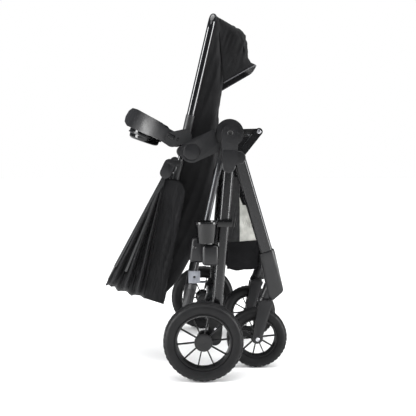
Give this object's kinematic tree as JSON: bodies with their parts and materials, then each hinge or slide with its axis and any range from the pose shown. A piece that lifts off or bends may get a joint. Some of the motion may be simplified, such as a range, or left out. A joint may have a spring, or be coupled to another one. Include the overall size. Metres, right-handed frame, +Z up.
{
  "type": "baby stroller",
  "caption": "Folding four-wheel pushchair, folded and standing, with reversible seat, canopy, tray, push handle, basket and swivel front wheels",
  "frame": {"origin": "on the floor, below the middle of the folded chair's box", "axes": "+X is the travel direction, +Y the left-hand side, +Z up"},
  "size_m": [0.5642, 0.638, 1.0973],
  "materials": {
    "plastic": "moulded charcoal nylon, fine spark texture",
    "frame_metal": "satin charcoal powder coat",
    "arm_metal": "satin graphite anodised tube",
    "rail_metal": "gloss black enamel",
    "tyre": "foam-filled rubber, shallow tread",
    "cloth": "black woven polyester",
    "pad": "soft black knit",
    "mesh": "open black mesh",
    "web": "woven nylon webbing",
    "foam": "stitched black leatherette",
    "light_metal": "bare grey stamped plate",
    "screw": "zinc plated",
    "button": "grey moulded button"
  },
  "bodies": {
    "frame": {"rear_leg_right": "frame_metal", "rear_leg_left": "frame_metal", "hub_housing_right": "plastic", "hub_housing_left": "plastic", "rear_axle_beam": "frame_metal", "wheel_housing_right": "plastic", "wheel_housing_left": "plastic", "cup_holder": "plastic", "fold_catch": "plastic", "storage_basket": "mesh", "frame_screws": "screw"},
    "rear_wheel_right": {"rear_tyre_right": "tyre", "rear_rim_right": "plastic"},
    "rear_wheel_left": {"rear_tyre_left": "tyre", "rear_rim_left": "plastic"},
    "brake": {"brake_pedal": "plastic"},
    "push_frame": {"fold_hub_right": "plastic", "fold_hub_left": "plastic", "seat_mount_right": "plastic", "seat_mount_left": "plastic", "handle_arm_right": "arm_metal", "handle_arm_left": "arm_metal", "handle_sleeves": "plastic"},
    "release_right": {"seat_release_right": "plastic"},
    "release_left": {"seat_release_left": "plastic"},
    "height_right": {"height_button_right": "button"},
    "height_left": {"height_button_left": "button"},
    "handle": {"handle_bar": "frame_metal", "handle_grip": "foam", "lock_brackets": "light_metal"},
    "trigger": {"fold_trigger": "button"},
    "front_frame": {"front_leg_right": "frame_metal", "front_leg_left": "frame_metal", "front_housing_right": "plastic", "front_housing_left": "plastic", "front_brace": "frame_metal"},
    "link_right": {"drive_link_right": "frame_metal"},
    "link_left": {"drive_link_left": "frame_metal"},
    "castor_right": {"castor_fork_right": "plastic"},
    "castor_left": {"castor_fork_left": "plastic"},
    "front_wheel_right": {"front_tyre_right": "tyre", "front_rim_right": "plastic"},
    "front_wheel_left": {"front_tyre_left": "tyre", "front_rim_left": "plastic"},
    "seat": {"seat_frame": "rail_metal", "rail_sleeves": "arm_metal", "canopy_mounts": "plastic", "seat_sling": "cloth", "seat_pad": "pad", "foot_pocket": "cloth", "harness": "web", "harness_buckle": "plastic"},
    "buckle_release": {"buckle_button": "button"},
    "tray_body": {"tray": "plastic"},
    "bow_1": {"canopy_bow_1": "rail_metal", "canopy_panel_1": "cloth"},
    "bow_2": {"canopy_bow_2": "rail_metal", "canopy_panel_2": "cloth"},
    "bow_3": {"canopy_bow_3": "rail_metal", "canopy_panel_3": "cloth"}
  },
  "joints": [
    {"name": "fold", "type": "hinge", "parent": "frame", "child": "push_frame", "pos_m": [0.096, 0, 0.731], "axis": [0, 1, 0], "range_deg": [0, 110.5]},
    {"name": "front_fold", "type": "hinge", "parent": "frame", "child": "front_frame", "pos_m": [0.123, 0, 0.659], "axis": [0, 1, 0], "range_deg": [-45, 0]},
    {"name": "link_right_pivot", "type": "hinge", "parent": "front_frame", "child": "link_right", "pos_m": [0.184, -0.215, 0.736], "axis": [0, 1, 0], "range_deg": [-24.5, 0]},
    {"name": "link_left_pivot", "type": "hinge", "parent": "front_frame", "child": "link_left", "pos_m": [0.184, 0.215, 0.736], "axis": [0, 1, 0], "range_deg": [-24.5, 0]},
    {"name": "rear_wheel_right_spin", "type": "hinge", "parent": "frame", "child": "rear_wheel_right", "pos_m": [0.018, -0.295, 0.12], "axis": [0, 1, 0], "continuous": true},
    {"name": "rear_wheel_left_spin", "type": "hinge", "parent": "frame", "child": "rear_wheel_left", "pos_m": [0.018, 0.295, 0.12], "axis": [0, 1, 0], "continuous": true},
    {"name": "brake_pedal_press", "type": "hinge", "parent": "frame", "child": "brake", "pos_m": [0.04383, 0, 0.176], "axis": [0, 1, 0], "range_deg": [-12, 0]},
    {"name": "handle_telescope", "type": "slide", "parent": "push_frame", "child": "handle", "axis": [-0.2147, 0, -0.9767], "range_m": [0, 0.09]},
    {"name": "fold_trigger_squeeze", "type": "slide", "parent": "handle", "child": "trigger", "axis": [0, 0, 1], "range_m": [0, 0.0035], "stiffness_N_per_m": 400},
    {"name": "seat_release_right_press", "type": "slide", "parent": "push_frame", "child": "release_right", "axis": [0, 1, 0], "range_m": [0, 0.003], "stiffness_N_per_m": 400},
    {"name": "seat_release_left_press", "type": "slide", "parent": "push_frame", "child": "release_left", "axis": [0, -1, 0], "range_m": [0, 0.003], "stiffness_N_per_m": 400},
    {"name": "height_button_right_press", "type": "slide", "parent": "push_frame", "child": "height_right", "axis": [0, 1, 0], "range_m": [0, 0.002], "stiffness_N_per_m": 300},
    {"name": "height_button_left_press", "type": "slide", "parent": "push_frame", "child": "height_left", "axis": [0, -1, 0], "range_m": [0, 0.002], "stiffness_N_per_m": 300},
    {"name": "castor_right_swivel", "type": "hinge", "parent": "front_frame", "child": "castor_right", "pos_m": [0.213, -0.165, 0.222], "axis": [0.342, 0, 0.9397], "continuous": true},
    {"name": "castor_left_swivel", "type": "hinge", "parent": "front_frame", "child": "castor_left", "pos_m": [0.213, 0.165, 0.222], "axis": [0.342, 0, 0.9397], "continuous": true},
    {"name": "front_wheel_right_spin", "type": "hinge", "parent": "castor_right", "child": "front_wheel_right", "pos_m": [0.186, -0.165, 0.096], "axis": [0, 1, 0], "continuous": true},
    {"name": "front_wheel_left_spin", "type": "hinge", "parent": "castor_left", "child": "front_wheel_left", "pos_m": [0.186, 0.165, 0.096], "axis": [0, 1, 0], "continuous": true},
    {"name": "seat_recline", "type": "hinge", "parent": "push_frame", "child": "seat", "pos_m": [-0.016, 0, 0.677], "axis": [0, 1, 0], "range_deg": [0, 18]},
    {"name": "buckle_press", "type": "slide", "parent": "seat", "child": "buckle_release", "axis": [1, 0, 0], "range_m": [0, 0.003], "stiffness_N_per_m": 300},
    {"name": "tray_swing", "type": "hinge", "parent": "seat", "child": "tray_body", "pos_m": [-0.075, 0, 0.714], "axis": [0, 1, 0], "range_deg": [0, 50]},
    {"name": "canopy_open", "type": "hinge", "parent": "seat", "child": "bow_1", "pos_m": [-0.095, 0, 0.613], "axis": [0, 1, 0], "range_deg": [0, 28]},
    {"name": "canopy_bow_2_turn", "type": "hinge", "parent": "bow_1", "child": "bow_2", "pos_m": [-0.095, 0, 0.613], "axis": [0, 1, 0], "range_deg": [0, 28]},
    {"name": "canopy_bow_3_turn", "type": "hinge", "parent": "bow_2", "child": "bow_3", "pos_m": [-0.095, 0, 0.613], "axis": [0, 1, 0], "range_deg": [0, 28]}
  ],
  "couplings": [
    {"joint": "front_fold", "follows": "fold", "ratio": -0.40724},
    {"joint": "link_right_pivot", "follows": "fold", "ratio": -0.22163},
    {"joint": "link_left_pivot", "follows": "fold", "ratio": -0.22163},
    {"joint": "canopy_bow_2_turn", "follows": "canopy_open", "ratio": 1},
    {"joint": "canopy_bow_3_turn", "follows": "canopy_open", "ratio": 1}
  ]
}
